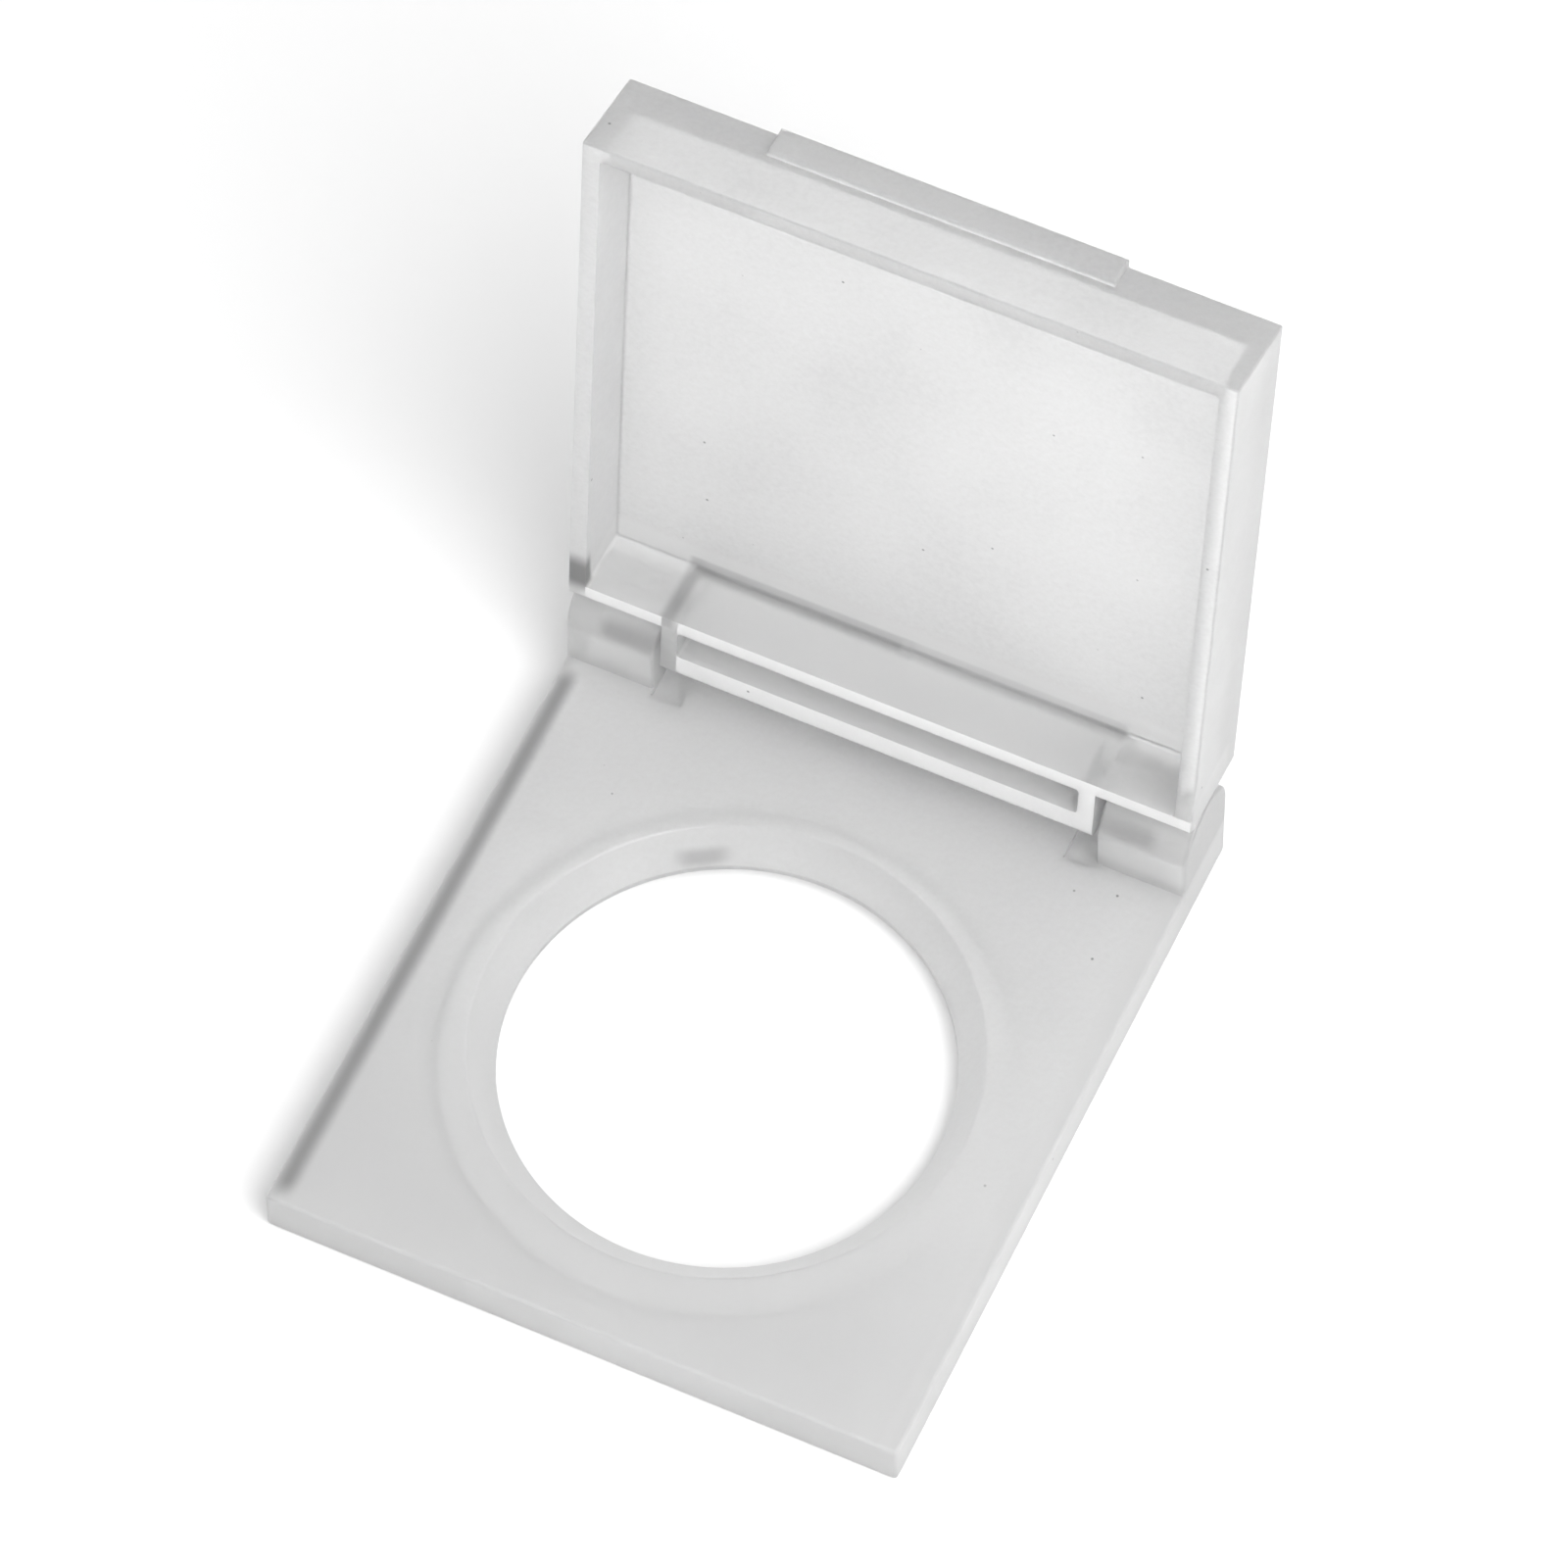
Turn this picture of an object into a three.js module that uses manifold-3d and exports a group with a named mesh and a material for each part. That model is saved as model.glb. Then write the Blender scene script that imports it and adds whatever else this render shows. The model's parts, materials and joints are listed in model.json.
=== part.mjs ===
// Hinged square coin capsule: a windowed base plate and a flip lid on two short pins.
// Millimetres, +Z up, +X along the hinge, the hinge at the back (+Y).
// The model stands with its lid open. The origin is the middle of its footprint, at the bottom.
import * as THREE from 'three';
import { mergeVertices } from 'three/addons/utils/BufferGeometryUtils.js';
import Module from 'manifold-3d';

const wasm = await Module();
wasm.setup();

// ---- driving dimensions -------------------------------------------------------------------
const plateWidth = 50;
const plateDepth = 57.7;
const plateThickness = 4;
const plateEdgeRadius = 0.5;

const windowRadius = 16.8;
const windowChamfer = 2.1;        // the window's sloping upper edge, measured outward
const windowLandHeight = 0.5;     // upright part of the window's edge, below the slope
const windowForward = 0.25;       // the window lies this much nearer the front than midway
const undersideRecessRadius = 21;
const undersideRecessDepth = 1.2;

const lugRadius = 3.65;           // the lugs are arches about the hinge axis
const lugWidth = 7.1;
const axisHeight = 7.6;           // hinge axis above the rest surface
const reliefWidth = 2.4;          // shallow relief in the plate beside each lug
const reliefDepth = 0.6;
const reliefLength = 7.8;

const pinRadius = 0.75;
const pinLength = 8;
const pinInLug = 4.5;             // how far each pin reaches into its lug

const openAngle = 96;             // degrees between the base and the open lid
const frontOverhang = 1.2;        // how far the closed lid's rim passes the front of the plate
const lidDepth = 7.9;             // outer face of the panel to the rim
const panelThickness = 2.5;
const wallThickness = 1.4;
const hingeWallThickness = 1.3;
const frontWallSlope = 1.4;       // the front wall leans in by this much from rim to panel
const lidEdgeRadius = 0.2;
const tabWidth = 26.6;
const tabReach = 0.9;
const shelfThickness = 2.6;
const cheekThickness = 1.3;

// ---- clearances ---------------------------------------------------------------------------
const lidOverLug = 0.4;           // hinge wall to the lugs, in every position
const lidBesideLug = 0.5;         // cheeks to the lugs' inner faces
const rimOverPlate = 0.15;        // rim to plate with the lid closed
const shelfSweepGap = 0.15;       // turning shelf to the plate
const pinRunningGap = 0.08;
const pinSeatGap = 0.02;          // the pins are pushed into the shelf
const pinEndGap = 0.4;

// ---- worked out from these ----------------------------------------------------------------
const windowSegments = 72;
const arcSegments = 16;
const axisY = plateDepth / 2 - lugRadius;
const lugInnerX = plateWidth / 2 - lugWidth;
const lugFrontY = axisY - lugRadius;
const windowY = (lugFrontY - plateDepth / 2) / 2 - windowForward;
const windowLandTop = undersideRecessDepth + windowLandHeight;
const axisOverPlate = axisHeight - plateThickness;
const hingeWallY = lugRadius + lidOverLug;
const rimDrop = axisOverPlate - rimOverPlate;
const panelTop = lidDepth - rimDrop;
const panelInside = panelTop - panelThickness;
const lidFrontY = axisY + plateDepth / 2 + frontOverhang;
const boxHalfWidth = lugInnerX - lidBesideLug;
const shelfHalf = shelfThickness / 2;
const past = 1;                   // how far a cutter runs past what it cuts

// ---- solids -------------------------------------------------------------------------------
function toSolid(geometry) {
  const bare = geometry.clone();
  bare.deleteAttribute('normal');
  bare.deleteAttribute('uv');
  const merged = mergeVertices(bare, 1e-4);
  return new wasm.Manifold(new wasm.Mesh({
    numProp: 3,
    vertProperties: new Float32Array(merged.attributes.position.array),
    triVerts: new Uint32Array(merged.index.array),
  }));
}

function toMesh(name, solid, material) {
  const { numProp, vertProperties, triVerts } = solid.getMesh();
  const geometry = new THREE.BufferGeometry();
  geometry.setAttribute('position', new THREE.BufferAttribute(vertProperties, numProp));
  geometry.setIndex(new THREE.BufferAttribute(triVerts, 1));
  geometry.computeVertexNormals();
  const mesh = new THREE.Mesh(geometry, material);
  mesh.name = name;
  return mesh;
}

// A box from its two corners.
function block([x0, y0, z0], [x1, y1, z1]) {
  const geometry = new THREE.BoxGeometry(x1 - x0, y1 - y0, z1 - z0);
  geometry.translate((x0 + x1) / 2, (y0 + y1) / 2, (z0 + z1) / 2);
  return toSolid(geometry);
}

// A side profile, drawn in Y and Z, run along X between two ends, with rounded end edges.
function alongX(profile, x0, x1, edgeRadius = 0) {
  const geometry = new THREE.ExtrudeGeometry(profile, {
    depth: x1 - x0 - 2 * edgeRadius,
    bevelEnabled: edgeRadius > 0,
    bevelThickness: edgeRadius,
    bevelSize: edgeRadius,
    bevelOffset: -edgeRadius,
    bevelSegments: 3,
    curveSegments: arcSegments,
  });
  geometry.applyMatrix4(new THREE.Matrix4().makeBasis(
    new THREE.Vector3(0, 1, 0), new THREE.Vector3(0, 0, 1), new THREE.Vector3(1, 0, 0)));
  geometry.translate(x0 + edgeRadius, 0, 0);
  return toSolid(geometry);
}

function polygon(points) {
  return new THREE.Shape(points.map(([a, b]) => new THREE.Vector2(a, b)));
}

// A round rod along X.
function rod(radius, x0, x1, y, z) {
  const geometry = new THREE.CylinderGeometry(radius, radius, x1 - x0, 24);
  geometry.rotateZ(Math.PI / 2);
  geometry.translate((x0 + x1) / 2, y, z);
  return toSolid(geometry);
}

// ---- base ---------------------------------------------------------------------------------
function plate() {
  const outline = polygon([
    [-plateWidth / 2, -plateDepth / 2], [plateWidth / 2, -plateDepth / 2],
    [plateWidth / 2, plateDepth / 2], [-plateWidth / 2, plateDepth / 2]]);
  const geometry = new THREE.ExtrudeGeometry(outline, {
    depth: plateThickness - 2 * plateEdgeRadius,
    bevelThickness: plateEdgeRadius,
    bevelSize: plateEdgeRadius,
    bevelOffset: -plateEdgeRadius,
    bevelSegments: 3,
  });
  geometry.translate(0, 0, plateEdgeRadius);
  return toSolid(geometry);
}

// Everything that the window takes away: the underside recess, the hole and its sloping edge.
function windowCutter() {
  const outline = [
    [0, -past], [undersideRecessRadius, -past], [undersideRecessRadius, undersideRecessDepth],
    [windowRadius, undersideRecessDepth], [windowRadius, windowLandTop],
    [windowRadius + windowChamfer, plateThickness],
    [windowRadius + windowChamfer, plateThickness + past], [0, plateThickness + past]];
  const points = outline.map(([r, z]) => new THREE.Vector2(r, z));
  const geometry = new THREE.LatheGeometry(points, windowSegments);
  geometry.rotateX(Math.PI / 2);
  geometry.translate(0, windowY, 0);
  return toSolid(geometry);
}

// One lug: an arch about the hinge axis, standing in the plate, with a blind pin bore.
function lug(side) {
  const arch = new THREE.Shape();
  arch.moveTo(axisY + lugRadius, plateEdgeRadius);
  arch.lineTo(axisY + lugRadius, axisHeight);
  arch.absarc(axisY, axisHeight, lugRadius, 0, Math.PI, false);
  arch.lineTo(axisY - lugRadius, plateEdgeRadius);
  const ends = [side * lugInnerX, side * plateWidth / 2].sort((a, b) => a - b);
  return alongX(arch, ...ends, plateEdgeRadius);
}

function lugBore(side) {
  const mouth = lugInnerX - past;
  const end = lugInnerX + pinInLug + pinEndGap;
  const ends = [side * mouth, side * end].sort((a, b) => a - b);
  return rod(pinRadius + pinRunningGap, ...ends, axisY, axisHeight);
}

function relief(side) {
  const ends = [side * (lugInnerX - reliefWidth), side * lugInnerX].sort((a, b) => a - b);
  return block([ends[0], plateDepth / 2 - reliefLength, plateThickness - reliefDepth],
    [ends[1], plateDepth / 2 + past, plateThickness + past]);
}

function base() {
  let solid = plate().subtract(windowCutter());
  for (const side of [-1, 1]) {
    solid = solid.subtract(relief(side)).add(lug(side)).subtract(lugBore(side));
  }
  return solid;
}

// ---- lid ----------------------------------------------------------------------------------
// The lid is drawn closed, in its own frame: the hinge axis is X, the panel lies on top and
// the free edge points to -Y.
function tray() {
  const outer = polygon([
    [-hingeWallY, -rimDrop], [-hingeWallY, panelTop],
    [frontWallSlope - lidFrontY, panelTop], [-lidFrontY, -rimDrop]]);
  const leanIn = frontWallSlope * panelThickness / lidDepth;
  const inner = polygon([
    [-hingeWallY - hingeWallThickness, -rimDrop - past],
    [-hingeWallY - hingeWallThickness, panelInside],
    [frontWallSlope - leanIn + wallThickness - lidFrontY, panelInside],
    [wallThickness - lidFrontY - frontWallSlope * past / lidDepth, -rimDrop - past]]);
  const halfWidth = plateWidth / 2;
  return alongX(outer, -halfWidth, halfWidth, lidEdgeRadius)
    .subtract(alongX(inner, wallThickness - halfWidth, halfWidth - wallThickness));
}

// The box between the lugs: a shelf on the axis, two cheeks and a piece of panel.
function hingeBox() {
  const cornerRadius = 1;
  const sweep = axisOverPlate - shelfSweepGap;
  const cornerZ = Math.min(rimDrop - cornerRadius, sweep - cornerRadius);
  const section = new THREE.Shape();
  section.moveTo(-hingeWallY - hingeWallThickness, -rimDrop);
  section.lineTo(shelfHalf - cornerRadius, -rimDrop);
  section.absarc(shelfHalf - cornerRadius, -cornerZ, cornerRadius, -Math.PI / 2, 0, false);
  section.lineTo(shelfHalf, panelTop);
  section.lineTo(-hingeWallY - hingeWallThickness, panelTop);
  const channelHalf = boxHalfWidth - cheekThickness;
  const channel = block([-channelHalf, -hingeWallY, -rimDrop - past],
    [channelHalf, -shelfHalf, panelInside]);
  return alongX(section, -boxHalfWidth, boxHalfWidth).subtract(channel);
}

function tab() {
  return block([-tabWidth / 2, frontWallSlope - lidFrontY - tabReach, panelInside],
    [tabWidth / 2, frontWallSlope - lidFrontY + wallThickness, panelTop]);
}

function shelfBore(side) {
  const inner = lugInnerX + pinInLug - pinLength - pinEndGap;
  const ends = [side * inner, side * (boxHalfWidth + past)].sort((a, b) => a - b);
  return rod(pinRadius + pinSeatGap, ...ends, 0, 0);
}

function lid() {
  return tray().add(hingeBox()).add(tab()).subtract(shelfBore(-1)).subtract(shelfBore(1));
}

function hingePin(side) {
  const outer = lugInnerX + pinInLug;
  const ends = [side * (outer - pinLength), side * outer].sort((a, b) => a - b);
  return rod(pinRadius, ...ends, 0, 0);
}

// ---- assembly -----------------------------------------------------------------------------
const frostedPlastic = { color: 0xdcdedd, roughness: 0.38, metalness: 0, transparent: true, opacity: 0.75 };
const pinSteel = { color: 0x8f9294, roughness: 0.35, metalness: 1 };

const capsule = new THREE.Group();
capsule.add(toMesh('base', base(), new THREE.MeshStandardMaterial(frostedPlastic)));

const swing = new THREE.Group();
swing.position.set(0, axisY, axisHeight);
swing.rotation.x = THREE.MathUtils.degToRad(-openAngle);
swing.add(toMesh('lid', lid(), new THREE.MeshStandardMaterial(frostedPlastic)));
swing.add(toMesh('hinge_pin_left', hingePin(-1), new THREE.MeshStandardMaterial(pinSteel)));
swing.add(toMesh('hinge_pin_right', hingePin(1), new THREE.MeshStandardMaterial(pinSteel)));
capsule.add(swing);

// Put the origin in the middle of the footprint of the open capsule.
capsule.updateMatrixWorld(true);
const footprint = new THREE.Box3().setFromObject(capsule, true);
capsule.position.y = -(footprint.min.y + footprint.max.y) / 2;

export default capsule;
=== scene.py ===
# Hinged square coin capsule in frosted plastic, standing with its lid open.
import json
import math

import bmesh
import bpy
from mathutils import Matrix, Vector


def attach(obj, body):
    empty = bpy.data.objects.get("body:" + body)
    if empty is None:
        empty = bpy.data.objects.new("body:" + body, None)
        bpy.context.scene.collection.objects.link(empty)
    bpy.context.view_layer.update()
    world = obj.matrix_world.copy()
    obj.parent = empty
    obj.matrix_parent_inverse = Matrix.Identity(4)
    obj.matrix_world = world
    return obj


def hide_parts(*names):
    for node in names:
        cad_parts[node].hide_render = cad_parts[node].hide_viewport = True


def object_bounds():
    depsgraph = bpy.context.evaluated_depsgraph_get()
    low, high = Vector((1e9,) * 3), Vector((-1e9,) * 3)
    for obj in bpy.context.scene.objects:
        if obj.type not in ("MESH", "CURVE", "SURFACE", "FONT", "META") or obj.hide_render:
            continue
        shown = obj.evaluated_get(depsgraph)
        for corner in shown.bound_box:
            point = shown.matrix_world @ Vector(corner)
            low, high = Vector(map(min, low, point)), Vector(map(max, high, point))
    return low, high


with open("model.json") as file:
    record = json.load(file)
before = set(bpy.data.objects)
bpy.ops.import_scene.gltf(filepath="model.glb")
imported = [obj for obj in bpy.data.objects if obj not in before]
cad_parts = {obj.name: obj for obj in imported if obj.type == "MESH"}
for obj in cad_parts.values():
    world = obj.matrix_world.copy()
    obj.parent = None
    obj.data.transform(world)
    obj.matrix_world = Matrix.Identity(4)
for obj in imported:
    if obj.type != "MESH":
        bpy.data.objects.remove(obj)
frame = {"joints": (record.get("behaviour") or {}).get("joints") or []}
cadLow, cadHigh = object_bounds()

mm = 0.001
close = 0.01    # mm, how near a corner has to be to a plane to count as lying in it
past = 1        # mm, how far a cutter runs past what it cuts
hinge = frame["joints"][0]
hingePoint = Vector(hinge["pos_m"])
print("frame loaded, hinge at", [round(v / mm, 2) for v in hingePoint])


# small helpers for colours, nodes and meshes

def hexColour(code):
    # sRGB hex to the linear values that shaders take
    channels = [int(code[i:i + 2], 16) / 255 for i in (0, 2, 4)]
    return [c / 12.92 if c <= 0.04045 else ((c + 0.055) / 1.055) ** 2.4 for c in channels] + [1.0]


def addNode(tree, kind, settings=None, inputs=None, links=None):
    node = tree.nodes.new(kind)
    for key, value in (settings or {}).items():
        setattr(node, key, value)
    for key, value in (inputs or {}).items():
        node.inputs[key].default_value = value
    for key, socket in (links or {}).items():
        tree.links.new(socket, node.inputs[key])
    return node


def newMaterial(name):
    material = bpy.data.materials.new(name)
    material.use_nodes = True
    tree = material.node_tree
    tree.nodes.clear()
    return material, tree


def boxMesh(low, high):
    # corners in mm
    bm = bmesh.new()
    bmesh.ops.create_cube(bm, size=1.0)
    low, high = Vector(low), Vector(high)
    bmesh.ops.scale(bm, vec=high - low, verts=bm.verts)
    bmesh.ops.translate(bm, vec=(low + high) / 2, verts=bm.verts)
    return bm


def edgesWhere(bm, test):
    return [e for e in bm.edges if all(test(v.co) for v in e.verts)]


def roundEdges(bm, edges, radius, steps=4):
    bmesh.ops.bevel(bm, geom=edges, offset=radius, offset_type="OFFSET", segments=steps,
                    profile=0.5, affect="EDGES", material=-1, clamp_overlap=True)


def solid(bm, name):
    bmesh.ops.remove_doubles(bm, verts=bm.verts, dist=0.0005)
    bmesh.ops.recalc_face_normals(bm, faces=bm.faces)
    bmesh.ops.scale(bm, vec=(mm, mm, mm), verts=bm.verts)
    mesh = bpy.data.meshes.new(name)
    bm.to_mesh(mesh)
    bm.free()
    piece = bpy.data.objects.new(name, mesh)
    bpy.context.scene.collection.objects.link(piece)
    return piece


def combine(target, tool, how):
    # UNION or DIFFERENCE, applied at once
    change = target.modifiers.new("combine", "BOOLEAN")
    change.operation = how
    change.solver = "EXACT"
    change.object = tool
    graph = bpy.context.evaluated_depsgraph_get()
    made = bpy.data.meshes.new_from_object(target.evaluated_get(graph))
    target.modifiers.clear()
    target.data = made
    bpy.data.objects.remove(tool, do_unlink=True)


def finishPiece(piece, material, body, node, softAngle=40):
    # smooth where faces meet at less than the soft angle, in degrees
    mesh = piece.data
    mesh.name = piece.name
    mesh.materials.clear()
    mesh.materials.append(material)
    mesh.shade_smooth()
    mesh.set_sharp_from_angle(angle=math.radians(softAngle))
    even = piece.modifiers.new("evenNormals", "WEIGHTED_NORMAL")
    even.keep_sharp = True
    even.weight = 100
    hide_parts(node)
    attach(piece, body)


# base: the plate with its round window, and a lug at each end of the hinge

plateLook = {
    "width": 50.0, "depth": 57.7, "thickness": 4.0, "edgeRadius": 0.3,
    "windowRadius": 16.8, "windowY": -3.9, "landTop": 1.7, "slopeReach": 2.1, "slopeEdge": 0.35,
    "recessRadius": 21.0, "recessDepth": 1.2, "windowSteps": 144, "slopeSteps": 5,
    "lugRadius": 3.65, "lugWidth": 7.1, "lugEdge": 0.25, "crownSteps": 20, "axisHeight": 7.6,
    "boreRadius": 0.83, "boreDepth": 4.9,
    "reliefWidth": 2.4, "reliefDepth": 0.6, "reliefLength": 7.8,
}


def windowCutter(s):
    # a short upright land, a sloping edge and a small rounding where the slope meets the top
    bm = bmesh.new()
    top, radius, reach, soft = s["thickness"], s["windowRadius"], s["slopeReach"], s["slopeEdge"]
    slope = math.atan2(top - s["landTop"], reach)
    bend = soft * math.tan(slope / 2)
    rim = radius + reach + bend
    outline = [(0, -past), (s["recessRadius"], -past), (s["recessRadius"], s["recessDepth"]),
               (radius, s["recessDepth"]), (radius, s["landTop"])]
    for i in range(s["slopeSteps"] + 1):
        a = slope * (1 - i / s["slopeSteps"])
        outline.append((rim - soft * math.sin(a), top - soft * (1 - math.cos(a))))
    outline += [(rim, top + past), (0, top + past)]
    verts = [bm.verts.new((x, 0, z)) for x, z in outline]
    edges = [bm.edges.new(pair) for pair in zip(verts, verts[1:])]
    bmesh.ops.spin(bm, geom=verts + edges, cent=(0, 0, 0), axis=(0, 0, 1), angle=2 * math.pi,
                   steps=s["windowSteps"], use_merge=True, use_duplicate=False)
    bmesh.ops.translate(bm, vec=(0, s["windowY"], 0), verts=bm.verts)
    return bm


def lugMesh(s, side):
    outer, inner = s["width"] / 2, s["width"] / 2 - s["lugWidth"]
    axisY = s["depth"] / 2 - s["lugRadius"]
    low = Vector((inner, axisY - s["lugRadius"], s["edgeRadius"]))
    high = Vector((outer, axisY + s["lugRadius"], s["axisHeight"] + s["lugRadius"]))
    bm = boxMesh(low, high)
    crown = edgesWhere(bm, lambda co: co.z > high.z - close)
    crown = [e for e in crown if abs(e.verts[0].co.x - e.verts[1].co.x) > close]
    # a hair under the full radius, and the narrow strip left on top is merged after it
    roundEdges(bm, crown, s["lugRadius"] - 0.001, s["crownSteps"])
    bmesh.ops.remove_doubles(bm, verts=bm.verts, dist=close)
    for x in (inner, outer):
        rim = edgesWhere(bm, lambda co: abs(co.x - x) < close)
        rim = [e for e in rim if max(v.co.z for v in e.verts) > s["edgeRadius"] + close]
        roundEdges(bm, rim, s["lugEdge"], 4)
    if side < 0:
        bmesh.ops.scale(bm, vec=(-1, 1, 1), verts=bm.verts)
    return bm


def rodMesh(radius, x0, x1, y, z, sides=48):
    bm = bmesh.new()
    bmesh.ops.create_cone(bm, cap_ends=True, segments=sides, radius1=radius, radius2=radius,
                          depth=abs(x1 - x0))
    quarter = Matrix.Rotation(math.pi / 2, 3, "Y")
    bmesh.ops.rotate(bm, cent=(0, 0, 0), matrix=quarter, verts=bm.verts)
    bmesh.ops.translate(bm, vec=((x0 + x1) / 2, y, z), verts=bm.verts)
    return bm


def makeBase(s):
    halfX, halfY, top = s["width"] / 2, s["depth"] / 2, s["thickness"]
    inner = halfX - s["lugWidth"]
    bm = boxMesh((-halfX, -halfY, 0), (halfX, halfY, top))
    roundEdges(bm, list(bm.edges), s["edgeRadius"], 5)
    base = solid(bm, "window_base")
    combine(base, solid(windowCutter(s), "cutter"), "DIFFERENCE")
    for side in (-1, 1):
        ends = sorted((side * (inner - s["reliefWidth"]), side * inner))
        relief = boxMesh((ends[0], halfY - s["reliefLength"], top - s["reliefDepth"]),
                         (ends[1], halfY + past, top + past))
        combine(base, solid(relief, "cutter"), "DIFFERENCE")
        combine(base, solid(lugMesh(s, side), "lug"), "UNION")
        ends = sorted((side * (inner - past), side * (inner + s["boreDepth"])))
        bore = rodMesh(s["boreRadius"], *ends, halfY - s["lugRadius"], s["axisHeight"])
        combine(base, solid(bore, "cutter"), "DIFFERENCE")
    shift = hingePoint.y - (halfY - s["lugRadius"]) * mm
    base.data.transform(Matrix.Translation((0, shift, 0)))
    return base


base = makeBase(plateLook)
print("base made,", len(base.data.polygons), "faces")


# lid: drawn closed about the hinge axis, in mm, then turned to where it stands open

lidLook = {
    "openAngle": 96.0, "width": 50.0, "rimZ": -3.45, "topZ": 4.45, "panel": 2.5,
    "wall": 1.4, "hingeWallY": -4.05, "hingeWall": 1.3, "frontY": -55.25, "frontSlope": 1.4,
    "edgeRadius": 0.2, "insideRadius": 0.3,
    "boxHalf": 17.4, "cheek": 1.3, "shelfHalf": 1.3, "shelfCorner": 1.0,
    "channelCorner": 0.3, "tabWidth": 26.6, "tabReach": 0.9, "tabEdge": 0.3,
    "boreRadius": 0.77, "boreFrom": 14.0,
}


def makeLid(s):
    halfX, rim, top = s["width"] / 2, s["rimZ"], s["topZ"]
    inside = top - s["panel"]
    bm = boxMesh((-halfX, s["frontY"], rim), (halfX, s["hingeWallY"], top))
    leaning = [v for v in bm.verts if v.co.y < s["frontY"] + close and v.co.z > 0]
    bmesh.ops.translate(bm, vec=(0, s["frontSlope"], 0), verts=leaning)
    roundEdges(bm, list(bm.edges), s["edgeRadius"], 4)
    lid = solid(bm, "flip_lid")

    slope = s["frontSlope"] / (top - rim)
    wallX = halfX - s["wall"]
    below = rim - past
    hollow = boxMesh((-wallX, s["frontY"] + s["wall"] - slope, below),
                     (wallX, s["hingeWallY"] - s["hingeWall"], inside))
    leaning = [v for v in hollow.verts if v.co.y < s["frontY"] + 2 * s["wall"] and v.co.z > 0]
    bmesh.ops.translate(hollow, vec=(0, slope * (inside - below), 0), verts=leaning)
    corners = [e for e in hollow.edges if max(v.co.z for v in e.verts) > 0]
    roundEdges(hollow, corners, s["insideRadius"], 4)
    combine(lid, solid(hollow, "cutter"), "DIFFERENCE")

    sunk = 0.2      # mm, how far the box reaches into the hinge wall
    bm = boxMesh((-s["boxHalf"], s["hingeWallY"] - s["hingeWall"] + sunk, rim),
                 (s["boxHalf"], s["shelfHalf"], top))
    turning = edgesWhere(bm, lambda co: co.y > 0 and co.z < 0)
    roundEdges(bm, turning, s["shelfCorner"], 6)
    combine(lid, solid(bm, "hingeBox"), "UNION")
    channelX = s["boxHalf"] - s["cheek"]
    channel = boxMesh((-channelX, s["hingeWallY"], below), (channelX, -s["shelfHalf"], inside))
    corners = [e for e in channel.edges if max(v.co.z for v in e.verts) > 0]
    roundEdges(channel, corners, s["channelCorner"], 3)
    combine(lid, solid(channel, "cutter"), "DIFFERENCE")

    tab = boxMesh((-s["tabWidth"] / 2, s["frontY"] + s["frontSlope"] - s["tabReach"], inside),
                  (s["tabWidth"] / 2, s["frontY"] + s["frontSlope"] + s["wall"], top))
    outward = edgesWhere(tab, lambda co: co.y < s["frontY"] + s["frontSlope"])
    roundEdges(tab, outward, s["tabEdge"], 3)
    combine(lid, solid(tab, "tab"), "UNION")
    for side in (-1, 1):
        ends = sorted((side * s["boreFrom"], side * (s["boxHalf"] + past)))
        combine(lid, solid(rodMesh(s["boreRadius"], *ends, 0, 0), "cutter"), "DIFFERENCE")
    splitRim(lid, s)
    lid.data.transform(standOpen)
    return lid


def splitRim(lid, s):
    # edges across the rim, so that the hinge strips can carry their own painted light
    bm = bmesh.new()
    bm.from_mesh(lid.data)
    ends = [s["boxHalf"] - s["cheek"], s["boxHalf"], s["width"] / 2 - s["wall"]]
    for place, across in (((0, s["hingeWallY"] - s["hingeWall"], 0), (0, 1, 0)),
                          ((0, s["hingeWallY"], 0), (0, 1, 0)),
                          *(((x, 0, 0), (1, 0, 0)) for x in sorted(ends + [-x for x in ends]))):
        bmesh.ops.bisect_plane(bm, geom=bm.verts[:] + bm.edges[:] + bm.faces[:], dist=1e-6,
                               plane_co=Vector(place) * mm, plane_no=across)
    bm.to_mesh(lid.data)
    bm.free()


standOpen = (Matrix.Translation(hingePoint)
             @ Matrix.Rotation(-math.radians(lidLook["openAngle"]), 4, "X"))
lid = makeLid(lidLook)
print("lid made,", len(lid.data.polygons), "faces")


# hinge pins: two short steel rods with broken ends

pinLook = {"radius": 0.75, "length": 8.0, "outerX": 22.4, "chamfer": 0.12, "sides": 48}


def makePin(s, side, name):
    ends = sorted((side * (s["outerX"] - s["length"]), side * s["outerX"]))
    bm = rodMesh(s["radius"], *ends, 0, 0, s["sides"])
    ring = [e for e in bm.edges if abs(e.verts[0].co.x - e.verts[1].co.x) < close]
    roundEdges(bm, ring, s["chamfer"], 2)
    pin = solid(bm, name)
    pin.data.transform(standOpen)
    return pin


pins = [makePin(pinLook, -1, "pin_left"), makePin(pinLook, 1, "pin_right")]
print("pins made")


# Frosted polypropylene, injection moulded in a spark-eroded mould: milky and matt, it lets light
# through but blurs what lies behind it. Clear is the share of light that passes through, and
# milk depth, in mm, is how far the rest wanders inside.

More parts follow.
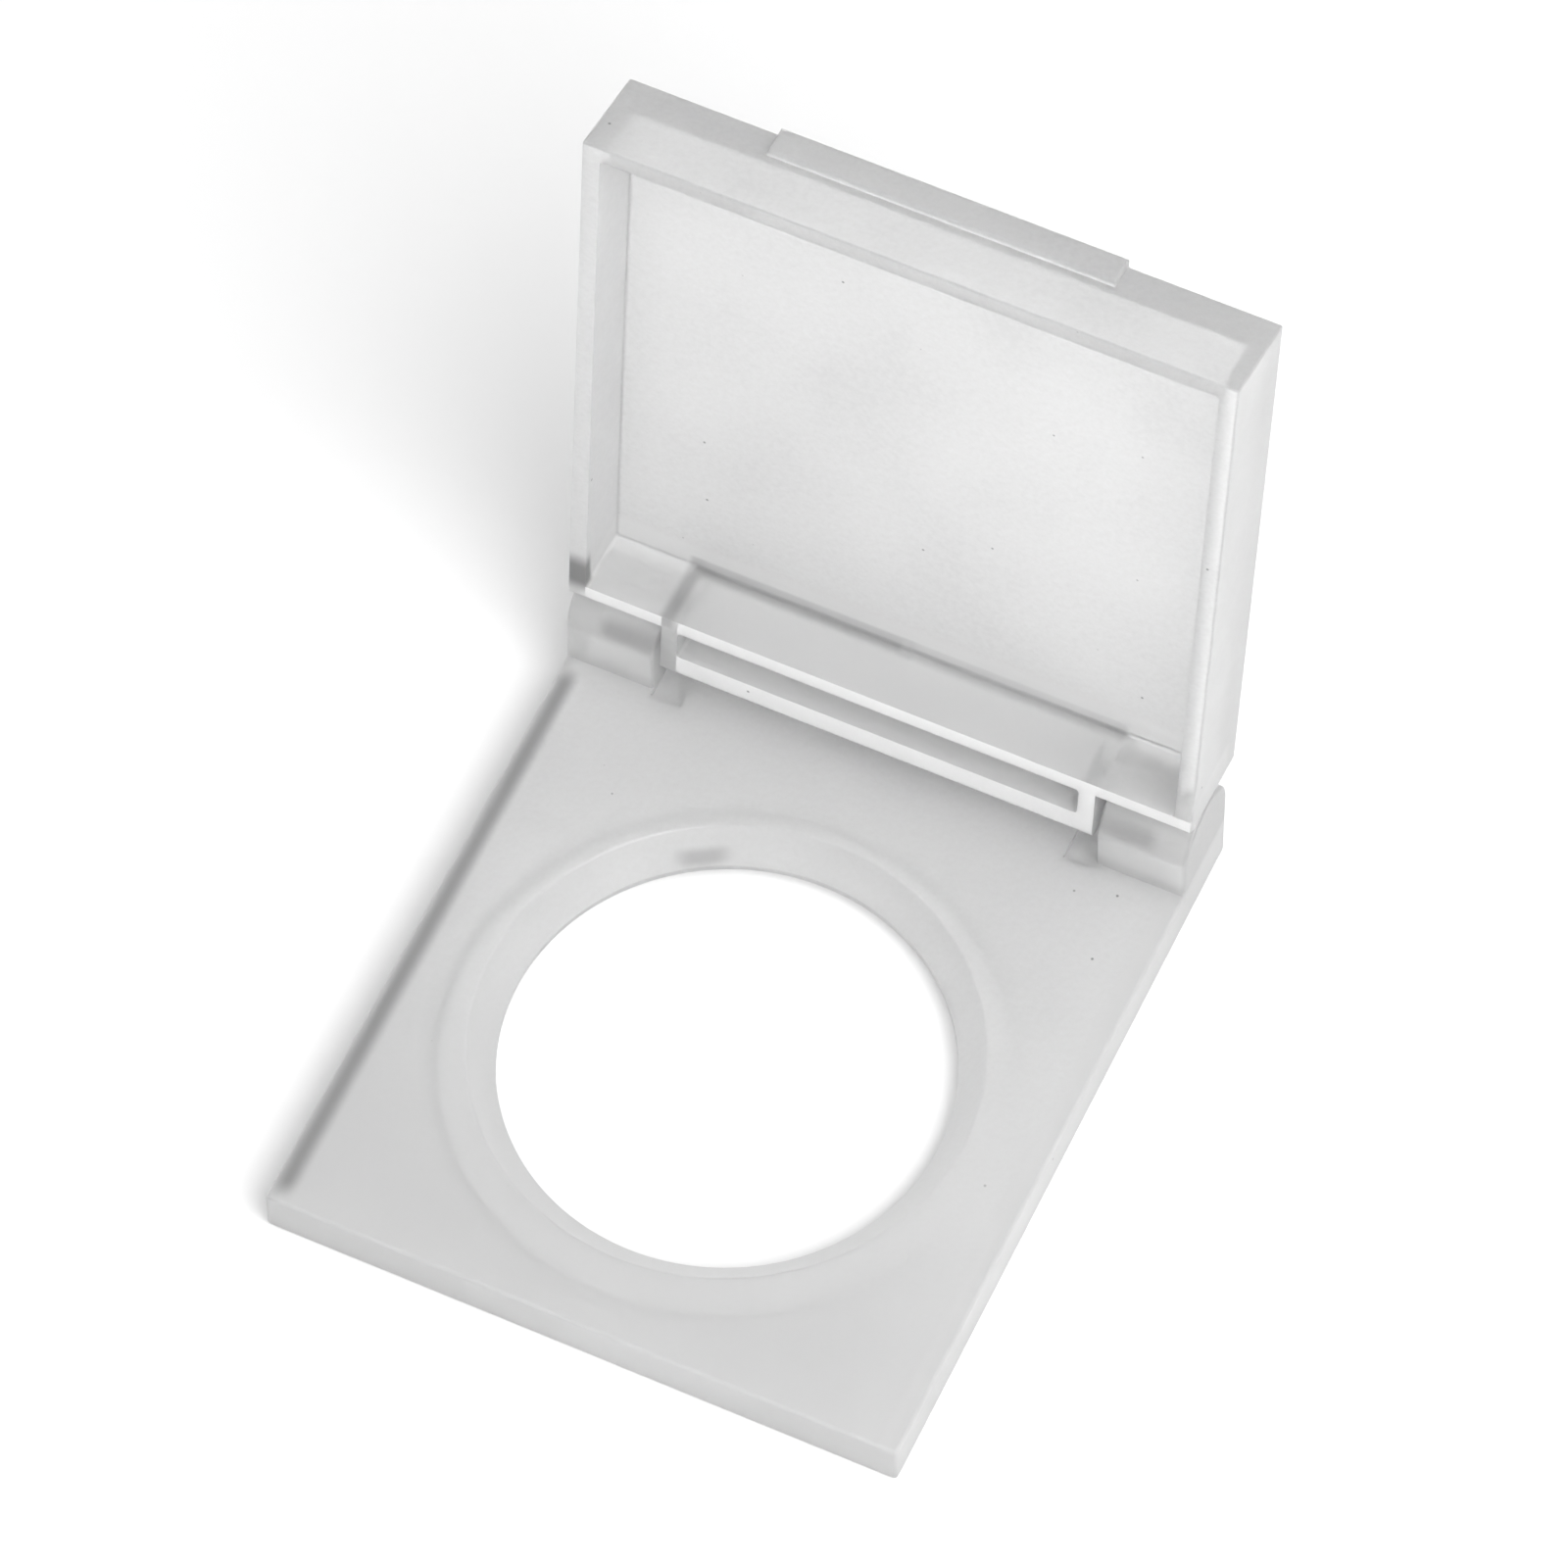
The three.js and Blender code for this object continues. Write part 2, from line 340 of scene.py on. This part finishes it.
frostedLook = {
    "ior": 1.49,
    "cloud": 9.0,       # mm, flow of the melt
    "grain": 0.45,      # mm, the mould face, drawn coarser than it is so that it shows
    "mottle": (0.7, 1.3),           # range of cloud and grain together
    "roughSpread": (-0.02, 0.03),
    "speckApart": 3.2,              # mm between tiny dark specks
    "speckSize": (0.02, 0.045),     # full tone and none, as shares of that distance
    "speckTone": "8C8C8C",
    "base": {"light": "FFFFFF", "dark": "F5F5F5", "roughness": 0.31, "clear": 0.68,
             "milkDepth": 2.2},
    "lid": {"light": "FCFCFC", "dark": "EDEDED", "roughness": 0.31, "clear": 0.70,
            "milkDepth": 1.4},
    # rim: a paler, less clear copy of the lid plastic, painted light for the wall ends at the
    # hinge
    "rim": {"light": "FFFFFF", "dark": "FBFBFB", "roughness": 0.31, "clear": 0.30,
            "milkDepth": 0.8},
}


hingeY = hingePoint.y / mm
far = 200.0     # mm, beyond every edge
# Painted light and shade fixed to each piece, as boxes in mm: middle, half the size, width of the
# soft border, turn about Z in degrees and tone. Some are painted shade for parts that show faintly
# through the plastic, and the rest are painted light and painted shade that make places paler and
# darker.
basePaintedShading = [
    # painted shade: the plate a little darker toward the front, where less light falls than near
    # the lid
    {"middle": (0, -32, 0), "half": (far, 1, far), "fade": (1, 38, 1), "tone": "F1F1F1"},
    # painted light on the left lug and painted shade on the right lug, so the left lug shows paler
    # than the right one
    {"middle": (-21.5, hingeY, 8), "half": (4, 4, 4), "fade": (1, 1, 1), "tone": "FFFFFF"},
    {"middle": (21.5, hingeY, 8), "half": (4, 4, 3.6), "fade": (1, 1, 1), "tone": "F0F0F0"},
    # painted shade: the shadow of the pins inside the lugs, seen through the plastic
    {"middle": (-19.5, hingeY - 3.2, 9.3), "half": (2.0, 0.6, 0.1), "fade": (1.4, 1.0, 1.4),
     "tone": "CECECE"},
    {"middle": (19.5, hingeY - 3.2, 9.3), "half": (2.0, 0.6, 0.1), "fade": (1.4, 1.0, 1.4),
     "tone": "CECECE"},
    # painted shade: a dark line along the far side of the plate's top face, for the side wall and
    # its lower edge in shade under the plastic
    {"middle": (-24.05, hingeY - 29, 4), "half": (0.05, 23, 0.3), "fade": (1.1, 2, 0.3),
     "tone": "A6A6A6"},
    # the near side: a painted highlight along the plate's top edge and painted shade on the lug
    # end
    {"middle": (24.4, -7, 4), "half": (0.3, 24, 0.3), "fade": (0.9, 2, 0.3), "tone": "FFFFFF"},
    {"middle": (25, hingeY, 8), "half": (0.1, 3.6, 3.2), "fade": (0.4, 0.6, 0.6),
     "tone": "DEDEDE"},
    # painted shade: a short dark patch beside the back of the window
    {"middle": (-8.9, 7.7, 3), "half": (0.7, 0.1, 2), "fade": (2.2, 0.6, 1), "turn": 31,
     "tone": "CACACA"},
]
lidPaintedShading = [
    # painted light: the hinge corner paler than the walls, for light that comes through it from
    # behind and below
    {"middle": (0, hingeY - 1, 11), "half": (25, 4, 3.5), "fade": (1, 1, 1), "tone": "FFFFFF"},
    # painted shade: the cheeks seen through the hinge wall, darker on the left
    {"middle": (-17, hingeY - 0.2, 13), "half": (0.15, 2.6, 0.5), "fade": (0.8, 0.4, 0.4),
     "tone": "CCCCCC"},
    {"middle": (17, hingeY - 0.2, 13), "half": (0.15, 2.6, 0.5), "fade": (0.8, 0.4, 0.4),
     "tone": "F6F6F6"},
    # painted shade: a dark line at the turn from hinge wall to panel above the channel, fainter on
    # the right where the light falls
    {"middle": (-8.5, hingeY + 2.2, 13), "half": (8.7, 0.1, 0.5), "fade": (0.6, 0.9, 0.4),
     "tone": "D0D0D0"},
    {"middle": (8.5, hingeY + 2.2, 13), "half": (8.7, 0.1, 0.5), "fade": (0.6, 0.9, 0.4),
     "tone": "E2E2E2"},
    # painted shade: the wall's end at the lower left corner
    {"middle": (-24.5, hingeY - 2.7, 14.6), "half": (0.9, 0.5, 0.7), "fade": (0.3, 0.6, 1.8),
     "tone": "7C7C7C"},
]


# painted light and shade: each box mixes its tone into the plastic's colour
def paintShading(tree, place, tone, shadingBoxes):
    for shadingBox in shadingBoxes:
        middle = [v * mm for v in shadingBox["middle"]]
        turned = addNode(tree, "ShaderNodeVectorRotate", {"rotation_type": "Z_AXIS"},
                         {"Center": middle, "Angle": math.radians(-shadingBox.get("turn", 0))},
                         {"Vector": place})
        offset = addNode(tree, "ShaderNodeVectorMath", {"operation": "SUBTRACT"}, {1: middle},
                         {0: turned.outputs[0]})
        away = addNode(tree, "ShaderNodeVectorMath", {"operation": "ABSOLUTE"}, {},
                       {0: offset.outputs[0]})
        edge = [h + f for h, f in zip(shadingBox["half"], shadingBox["fade"])]
        inside = addNode(tree, "ShaderNodeMapRange",
                         {"data_type": "FLOAT_VECTOR", "interpolation_type": "SMOOTHSTEP"},
                         {7: [h * mm for h in shadingBox["half"]], 8: [e * mm for e in edge],
                          9: (1, 1, 1), 10: (0, 0, 0)}, {6: away.outputs[0]})
        axes = addNode(tree, "ShaderNodeSeparateXYZ", {}, {}, {0: inside.outputs[1]}).outputs
        mask = axes[0]
        for axis in (axes[1], axes[2]):
            mask = addNode(tree, "ShaderNodeMath", {"operation": "MULTIPLY"}, {},
                           {0: mask, 1: axis}).outputs[0]
        tone = addNode(tree, "ShaderNodeMix", {"data_type": "RGBA"},
                       {7: hexColour(shadingBox["tone"])}, {0: mask, 6: tone}).outputs[2]
    return tone


def frostedPlastic(name, look, shadingBoxes=()):
    material, tree = newMaterial(name)
    place = addNode(tree, "ShaderNodeTexCoord").outputs["Object"]
    cloud = addNode(tree, "ShaderNodeTexNoise", {},
                    {"Scale": 1 / (frostedLook["cloud"] * mm), "Detail": 3.0, "Roughness": 0.55},
                    {"Vector": place})
    grain = addNode(tree, "ShaderNodeTexNoise", {},
                    {"Scale": 1 / (frostedLook["grain"] * mm), "Detail": 2.0, "Roughness": 0.6},
                    {"Vector": place})
    mottle = addNode(tree, "ShaderNodeMath", {"operation": "ADD"}, {},
                     {0: cloud.outputs["Fac"], 1: grain.outputs["Fac"]})
    low, high = frostedLook["mottle"]
    share = addNode(tree, "ShaderNodeMapRange", {}, {"From Min": low, "From Max": high},
                    {"Value": mottle.outputs[0]})
    tone = addNode(tree, "ShaderNodeMix", {"data_type": "RGBA"},
                   {6: hexColour(look["dark"]), 7: hexColour(look["light"])},
                   {0: share.outputs[0]}).outputs[2]
    specks = addNode(tree, "ShaderNodeTexVoronoi", {"feature": "F1"},
                     {"Scale": 1 / (frostedLook["speckApart"] * mm)}, {"Vector": place})
    full, none = frostedLook["speckSize"]
    near = addNode(tree, "ShaderNodeMapRange", {},
                   {"From Min": full, "From Max": none, "To Min": 1.0, "To Max": 0.0},
                   {"Value": specks.outputs["Distance"]})
    tone = addNode(tree, "ShaderNodeMix", {"data_type": "RGBA"},
                   {7: hexColour(frostedLook["speckTone"])},
                   {0: near.outputs[0], 6: tone}).outputs[2]
    # painted light and shade from the boxes listed for the piece
    tone = paintShading(tree, place, tone, shadingBoxes)
    # kept above 0.27, under which dark dots show in the frosting
    smoother, rougher = frostedLook["roughSpread"]
    rough = addNode(tree, "ShaderNodeMapRange", {},
                    {"From Min": 0.3, "From Max": 0.7, "To Min": look["roughness"] + smoother,
                     "To Max": look["roughness"] + rougher}, {"Value": grain.outputs["Fac"]})
    shader = addNode(tree, "ShaderNodeBsdfPrincipled", {},
                     {"IOR": frostedLook["ior"], "Transmission Weight": look["clear"],
                      "Subsurface Weight": 1.0, "Subsurface Scale": look["milkDepth"] * mm,
                      "Subsurface Radius": (1.0, 1.0, 1.0)},
                     {"Base Color": tone, "Roughness": rough.outputs[0]})
    addNode(tree, "ShaderNodeOutputMaterial", {}, {}, {"Surface": shader.outputs[0]})
    return material


# Bright drawn steel rod: grey and half glossy, with fine lines along it.

steelLook = {
    "dark": "7C7F82", "light": "A9ACAE", "roughness": (0.25, 0.42),
    "line": 0.8, "stretch": 12.0,   # mm along the rod, and how much narrower across
}


def drawnSteel(name, s):
    material, tree = newMaterial(name)
    place = addNode(tree, "ShaderNodeTexCoord")
    stretch = addNode(tree, "ShaderNodeMapping", {"vector_type": "POINT"},
                      {"Scale": (1.0, s["stretch"], s["stretch"])},
                      {"Vector": place.outputs["Object"]})
    lines = addNode(tree, "ShaderNodeTexNoise", {}, {"Scale": 1 / (s["line"] * mm), "Detail": 2.0},
                    {"Vector": stretch.outputs[0]})
    tone = addNode(tree, "ShaderNodeMix", {"data_type": "RGBA"},
                   {6: hexColour(s["dark"]), 7: hexColour(s["light"])},
                   {0: lines.outputs["Fac"]})
    smooth, coarse = s["roughness"]
    rough = addNode(tree, "ShaderNodeMapRange", {}, {"To Min": smooth, "To Max": coarse},
                    {"Value": lines.outputs["Fac"]})
    shader = addNode(tree, "ShaderNodeBsdfPrincipled", {}, {"Metallic": 1.0},
                     {"Base Color": tone.outputs[2], "Roughness": rough.outputs[0]})
    addNode(tree, "ShaderNodeOutputMaterial", {}, {}, {"Surface": shader.outputs[0]})
    return material


def paintRimLight(piece, material):
    # painted light: paler, less clear strips on the ends of the walls at the hinge, for light
    # carried along the walls that comes out at their ends
    s = lidLook
    mesh = piece.data
    mesh.materials.append(material)
    closed = standOpen.inverted()
    channelX = s["boxHalf"] - s["cheek"]
    for face in mesh.polygons:
        middle = closed @ face.center / mm
        atRim = abs(middle.z - s["rimZ"]) < 2 * close
        atHinge = middle.y > s["hingeWallY"] - s["hingeWall"]
        # on the left the cheek and the corner get no painted light
        withoutRimLight = -s["boxHalf"] < middle.x < -channelX or middle.x < s["wall"] - s["width"] / 2
        if atRim and atHinge and not withoutRimLight:
            face.material_index = 1


basePlastic = frostedPlastic("frosted_polypropylene_base", frostedLook["base"], basePaintedShading)
lidPlastic = frostedPlastic("frosted_polypropylene_lid", frostedLook["lid"], lidPaintedShading)
finishPiece(base, basePlastic, "base", "base")
finishPiece(lid, lidPlastic, "lid", "lid")
# painted light on the lid's wall ends at the hinge
paintRimLight(lid, frostedPlastic("frosted_polypropylene_rim_painted_light", frostedLook["rim"]))
steel = drawnSteel("drawn_steel", steelLook)
for pin, node in zip(pins, ("hinge_pin_left", "hinge_pin_right")):
    finishPiece(pin, steel, "lid", node)
print("finishes set")


# a pale table, soft light and the camera, in metres, degrees and watts but for what is marked mm

stageLook = {
    "floor": "FDFDFD", "floorSize": 6.0, "world": "FFFFFF", "worldStrength": 0.66,
    "floorGap": 0.1,    # mm under the plate
    "key": {"azimuth": 62.0, "height": 50.0, "distance": 0.50, "size": 0.40, "power": 2.15},
    "fill": {"azimuth": 12.0, "height": 18.0, "distance": 0.8, "size": 0.7, "power": 0.9},
}
cameraLook = {
    "lens": 251.27,     # mm
    "azimuth": 25.808, "elevation": 58.79, "roll": -0.99,
    "aim": (-6.735, 17.086, 0.0), "distance": 808.5, "sensor": 36.0,    # mm
    "clip": (0.05, 20),
}


def makeFloor(s):
    bm = bmesh.new()
    bmesh.ops.create_grid(bm, x_segments=8, y_segments=8, size=s["floorSize"] / 2)
    mesh = bpy.data.meshes.new("table_top")
    bm.to_mesh(mesh)
    bm.free()
    floor = bpy.data.objects.new("table_top", mesh)
    bpy.context.scene.collection.objects.link(floor)
    floor.location.z = -s["floorGap"] * mm
    material, tree = newMaterial("matt_white_laminate")
    shader = addNode(tree, "ShaderNodeBsdfPrincipled", {},
                     {"Base Color": hexColour(s["floor"]), "Roughness": 0.8})
    addNode(tree, "ShaderNodeOutputMaterial", {}, {}, {"Surface": shader.outputs[0]})
    mesh.materials.append(material)


def direction(azimuth, height):
    a, h = math.radians(azimuth), math.radians(height)
    return Vector((math.sin(a) * math.cos(h), -math.cos(a) * math.cos(h), math.sin(h)))


def addArea(name, s, target):
    light = bpy.data.lights.new(name, "AREA")
    light.shape = "DISK"
    light.size = s["size"]
    light.energy = s["power"]
    lamp = bpy.data.objects.new(name, light)
    bpy.context.scene.collection.objects.link(lamp)
    toLamp = direction(s["azimuth"], s["height"])
    lamp.location = target + toLamp * s["distance"]
    lamp.rotation_euler = (-toLamp).to_track_quat("-Z", "Y").to_euler()


makeFloor(stageLook)
middle = (cadLow + cadHigh) / 2
addArea("softbox", stageLook["key"], middle)
addArea("fill_panel", stageLook["fill"], middle)
world = bpy.data.worlds.new("studio")
world.use_nodes = True
backdrop = world.node_tree.nodes["Background"]
backdrop.inputs["Color"].default_value = hexColour(stageLook["world"])
backdrop.inputs["Strength"].default_value = stageLook["worldStrength"]
scene = bpy.context.scene
scene.world = world
scene.view_settings.view_transform = "Standard"

camera = bpy.data.objects.new("camera", bpy.data.cameras.new("camera"))
scene.collection.objects.link(camera)
camera.data.lens = cameraLook["lens"]
camera.data.sensor_width = cameraLook["sensor"]
camera.data.clip_start, camera.data.clip_end = cameraLook["clip"]
aim = Vector(cameraLook["aim"]) * mm
toCamera = direction(cameraLook["azimuth"], cameraLook["elevation"])
camera.location = aim + toCamera * cameraLook["distance"] * mm
turn = (-toCamera).to_track_quat("-Z", "Y").to_matrix().to_4x4()
roll = Matrix.Rotation(math.radians(cameraLook["roll"]), 4, "Z")
camera.rotation_euler = (turn @ roll).to_euler()
scene.camera = camera
print("stage set")
